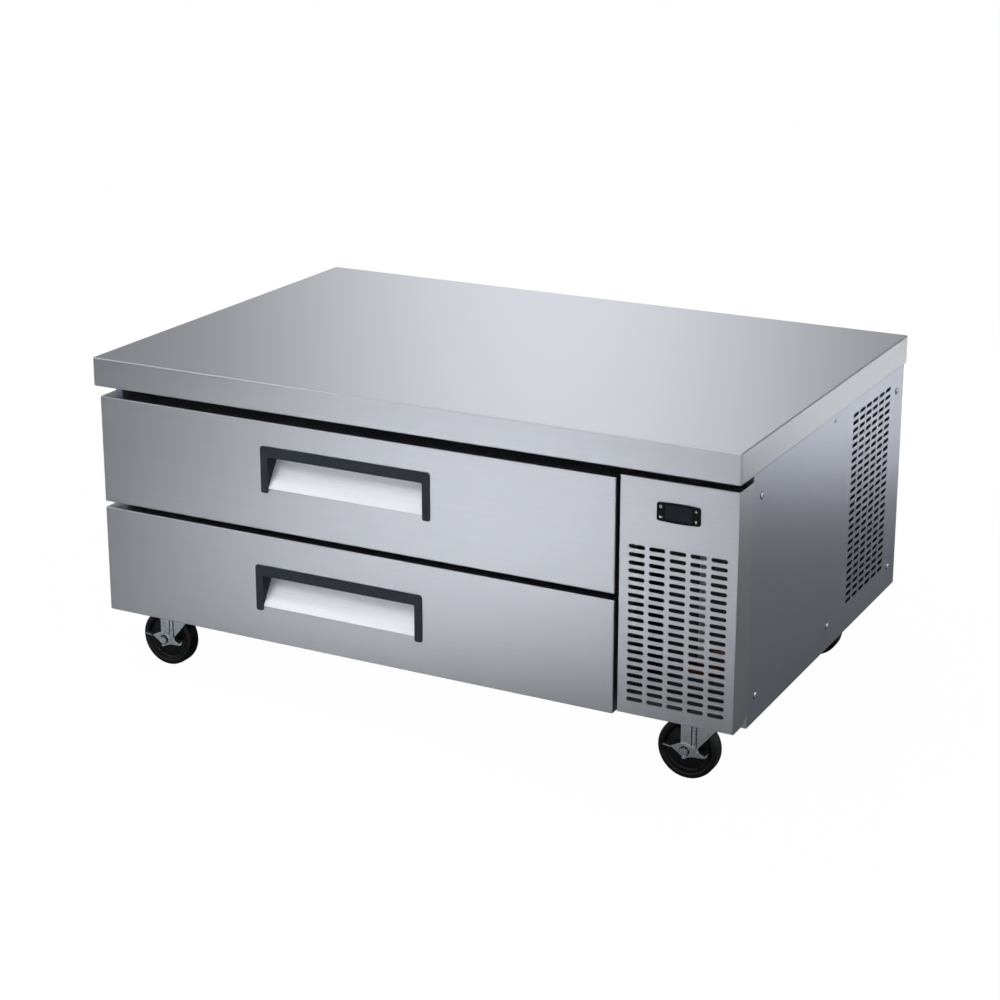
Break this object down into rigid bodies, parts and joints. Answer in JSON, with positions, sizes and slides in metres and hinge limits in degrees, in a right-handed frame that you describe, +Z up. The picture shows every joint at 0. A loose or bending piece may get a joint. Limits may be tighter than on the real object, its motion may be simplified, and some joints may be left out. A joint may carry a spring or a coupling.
{
  "type": "refrigerated chef base",
  "caption": "Low refrigerated counter with stacked pull-out drawers, a vented side machine compartment with a small controller, and swivel casters.",
  "frame": {"origin": "on the floor, under the middle of the worktop", "axes": "+X to the right seen from the front, -Y towards the user and the way the drawers open, +Z up"},
  "size_m": [1.229, 0.819, 0.604],
  "materials": {
    "stainless": "long-grain brushed stainless",
    "bright_stainless": "bright brushed stainless",
    "core_board": "bonded board faced with thin steel",
    "galvanised_steel": "galvanised sheet",
    "foam": "closed-cell insulating foam",
    "liner_steel": "satin sheet",
    "frame_plastic": "satin moulding",
    "bezel_plastic": "polished moulding",
    "window_plastic": "smoked clear window",
    "key_plastic": "satin moulding",
    "inner_panel_aluminium": "thermoformed sheet over foam",
    "fin_aluminium": "mill finish",
    "gasket_rubber": "soft matt extrusion",
    "handle_plastic": "fine matt texture",
    "condenser_fins": "black coated fins",
    "fan_plastic": "satin moulding",
    "black_enamel": "black enamel",
    "copper": "drawn copper tube",
    "zinc_plate": "bright zinc plate",
    "wheel_rubber": "moulded black tread"
  },
  "bodies": {
    "cabinet": {"worktop": "stainless", "worktop_core": "core_board", "left_side_panel": "stainless", "right_side_panel": "stainless", "back_panel": "stainless", "base_frame": "galvanised_steel", "insulation": "foam", "inner_liner": "liner_steel", "front_frame": "frame_plastic", "grille_panel": "stainless", "controller_case": "bezel_plastic", "controller_window": "window_plastic", "condenser_coil": "condenser_fins", "condenser_fan_shroud": "galvanised_steel", "compressor_tray": "galvanised_steel", "compressor": "black_enamel", "discharge_pipe": "copper", "evaporator_coil": "fin_aluminium", "evaporator_cover": "fin_aluminium", "mains_gland": "frame_plastic", "upper_drawer_rail_left": "zinc_plate", "upper_drawer_rail_right": "zinc_plate", "lower_drawer_rail_left": "zinc_plate", "lower_drawer_rail_right": "zinc_plate", "front_left_caster_plate": "zinc_plate", "front_right_caster_plate": "zinc_plate", "rear_left_caster_plate": "zinc_plate", "rear_right_caster_plate": "zinc_plate"},
    "upper_drawer": {"upper_drawer_front": "stainless", "upper_drawer_inner_panel": "inner_panel_aluminium", "upper_drawer_gasket": "gasket_rubber", "upper_drawer_handle": "handle_plastic", "upper_drawer_handle_scoop": "bright_stainless", "upper_drawer_pan_frame": "liner_steel"},
    "upper_slides": {"upper_drawer_slide_left": "zinc_plate", "upper_drawer_slide_right": "zinc_plate"},
    "lower_drawer": {"lower_drawer_front": "stainless", "lower_drawer_inner_panel": "inner_panel_aluminium", "lower_drawer_gasket": "gasket_rubber", "lower_drawer_handle": "handle_plastic", "lower_drawer_handle_scoop": "bright_stainless", "lower_drawer_pan_frame": "liner_steel"},
    "lower_slides": {"lower_drawer_slide_left": "zinc_plate", "lower_drawer_slide_right": "zinc_plate"},
    "key_power_body": {"key_power": "key_plastic"},
    "key_defrost_body": {"key_defrost": "key_plastic"},
    "key_up_body": {"key_up": "key_plastic"},
    "key_down_body": {"key_down": "key_plastic"},
    "condenser_fan_rotor": {"condenser_fan": "fan_plastic"},
    "evaporator_fan_rotor": {"evaporator_fan": "fan_plastic"},
    "front_left_swivel": {"front_left_caster_fork": "zinc_plate"},
    "front_left_wheel": {"front_left_caster_wheel": "wheel_rubber"},
    "front_left_brake": {"front_left_brake_pedal": "zinc_plate"},
    "front_right_swivel": {"front_right_caster_fork": "zinc_plate"},
    "front_right_wheel": {"front_right_caster_wheel": "wheel_rubber"},
    "front_right_brake": {"front_right_brake_pedal": "zinc_plate"},
    "rear_left_swivel": {"rear_left_caster_fork": "zinc_plate"},
    "rear_left_wheel": {"rear_left_caster_wheel": "wheel_rubber"},
    "rear_right_swivel": {"rear_right_caster_fork": "zinc_plate"},
    "rear_right_wheel": {"rear_right_caster_wheel": "wheel_rubber"}
  },
  "joints": [
    {"name": "upper_drawer_pull", "type": "slide", "parent": "cabinet", "child": "upper_drawer", "axis": [0, -1, 0], "range_m": [0, 0.56]},
    {"name": "upper_drawer_slides_run", "type": "slide", "parent": "cabinet", "child": "upper_slides", "axis": [0, -1, 0], "range_m": [0, 0.28]},
    {"name": "lower_drawer_pull", "type": "slide", "parent": "cabinet", "child": "lower_drawer", "axis": [0, -1, 0], "range_m": [0, 0.56]},
    {"name": "lower_drawer_slides_run", "type": "slide", "parent": "cabinet", "child": "lower_slides", "axis": [0, -1, 0], "range_m": [0, 0.28]},
    {"name": "key_power_press", "type": "slide", "parent": "cabinet", "child": "key_power_body", "axis": [0, 1, 0], "range_m": [0, 0.0008], "stiffness_N_per_m": 400},
    {"name": "key_defrost_press", "type": "slide", "parent": "cabinet", "child": "key_defrost_body", "axis": [0, 1, 0], "range_m": [0, 0.0008], "stiffness_N_per_m": 400},
    {"name": "key_up_press", "type": "slide", "parent": "cabinet", "child": "key_up_body", "axis": [0, 1, 0], "range_m": [0, 0.0008], "stiffness_N_per_m": 400},
    {"name": "key_down_press", "type": "slide", "parent": "cabinet", "child": "key_down_body", "axis": [0, 1, 0], "range_m": [0, 0.0008], "stiffness_N_per_m": 400},
    {"name": "condenser_fan_spin", "type": "hinge", "parent": "cabinet", "child": "condenser_fan_rotor", "pos_m": [0.51315, -0.232, 0.302], "axis": [0, 1, 0], "continuous": true},
    {"name": "evaporator_fan_spin", "type": "hinge", "parent": "cabinet", "child": "evaporator_fan_rotor", "pos_m": [-0.09785, 0.2844, 0.34765], "axis": [0, 1, 0], "continuous": true},
    {"name": "front_left_caster_swivel", "type": "hinge", "parent": "cabinet", "child": "front_left_swivel", "pos_m": [-0.5215, -0.3065, 0], "axis": [0, 0, 1], "continuous": true},
    {"name": "front_left_wheel_roll", "type": "hinge", "parent": "front_left_swivel", "child": "front_left_wheel", "pos_m": [-0.5445, -0.3065, 0.053], "axis": [0, 1, 0], "continuous": true},
    {"name": "front_left_brake_press", "type": "hinge", "parent": "front_left_swivel", "child": "front_left_brake", "pos_m": [-0.5445, -0.3065, 0.053], "axis": [0, -1, 0], "range_deg": [0, 14]},
    {"name": "front_right_caster_swivel", "type": "hinge", "parent": "cabinet", "child": "front_right_swivel", "pos_m": [0.5215, -0.3065, 0], "axis": [0, 0, 1], "continuous": true},
    {"name": "front_right_wheel_roll", "type": "hinge", "parent": "front_right_swivel", "child": "front_right_wheel", "pos_m": [0.4985, -0.3065, 0.053], "axis": [0, 1, 0], "continuous": true},
    {"name": "front_right_brake_press", "type": "hinge", "parent": "front_right_swivel", "child": "front_right_brake", "pos_m": [0.4985, -0.3065, 0.053], "axis": [0, -1, 0], "range_deg": [0, 14]},
    {"name": "rear_left_caster_swivel", "type": "hinge", "parent": "cabinet", "child": "rear_left_swivel", "pos_m": [-0.5215, 0.2905, 0], "axis": [0, 0, 1], "continuous": true},
    {"name": "rear_left_wheel_roll", "type": "hinge", "parent": "rear_left_swivel", "child": "rear_left_wheel", "pos_m": [-0.5445, 0.2905, 0.053], "axis": [0, 1, 0], "continuous": true},
    {"name": "rear_right_caster_swivel", "type": "hinge", "parent": "cabinet", "child": "rear_right_swivel", "pos_m": [0.5215, 0.2905, 0], "axis": [0, 0, 1], "continuous": true},
    {"name": "rear_right_wheel_roll", "type": "hinge", "parent": "rear_right_swivel", "child": "rear_right_wheel", "pos_m": [0.4985, 0.2905, 0.053], "axis": [0, 1, 0], "continuous": true}
  ],
  "couplings": [
    {"joint": "upper_drawer_slides_run", "follows": "upper_drawer_pull", "ratio": 0.5},
    {"joint": "lower_drawer_slides_run", "follows": "lower_drawer_pull", "ratio": 0.5}
  ]
}
